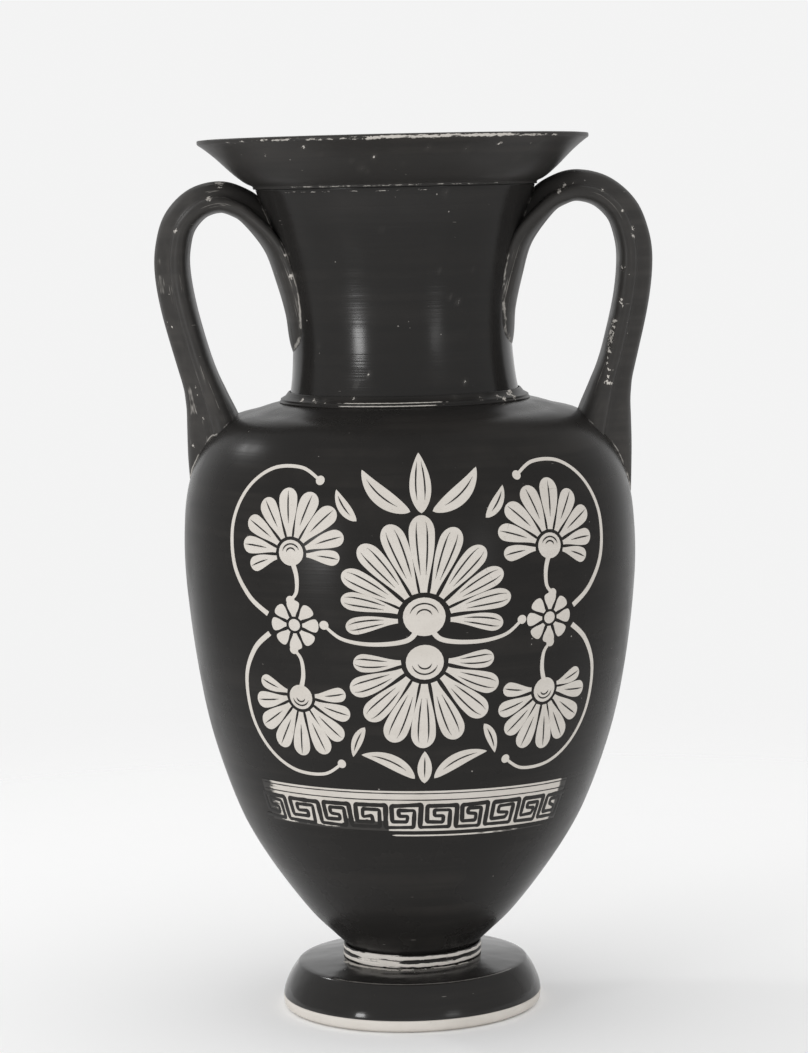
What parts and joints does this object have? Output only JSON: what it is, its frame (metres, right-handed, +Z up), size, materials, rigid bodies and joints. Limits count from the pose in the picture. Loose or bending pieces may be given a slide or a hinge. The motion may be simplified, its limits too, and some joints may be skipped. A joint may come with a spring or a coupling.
{
  "type": "neck amphora",
  "caption": "Two-handled black gloss pottery jar with a flaring mouth, offset neck, ovoid body and disc foot, for storing or pouring liquids.",
  "frame": {"origin": "under the middle of the jar's overall width and depth, on the plane that it stands on", "axes": "+Z up the jar from foot to mouth; the handles stand out along X; the decorated front faces -Y"},
  "size_m": [0.1925, 0.1754, 0.34],
  "materials": {
    "black_gloss": "black gloss slip over fired clay, fine throwing lines, small pale chips",
    "handle_gloss": "thin black gloss slip, worn to the clay along its edges",
    "reserved_clay": "bare fired clay, smoothed and matt"
  },
  "bodies": {
    "root": {"foot": "black_gloss", "foot_fillet": "reserved_clay", "body": "black_gloss", "neck_ring": "black_gloss", "neck": "black_gloss", "mouth": "black_gloss", "left_handle": "handle_gloss", "right_handle": "handle_gloss"}
  },
  "joints": []
}
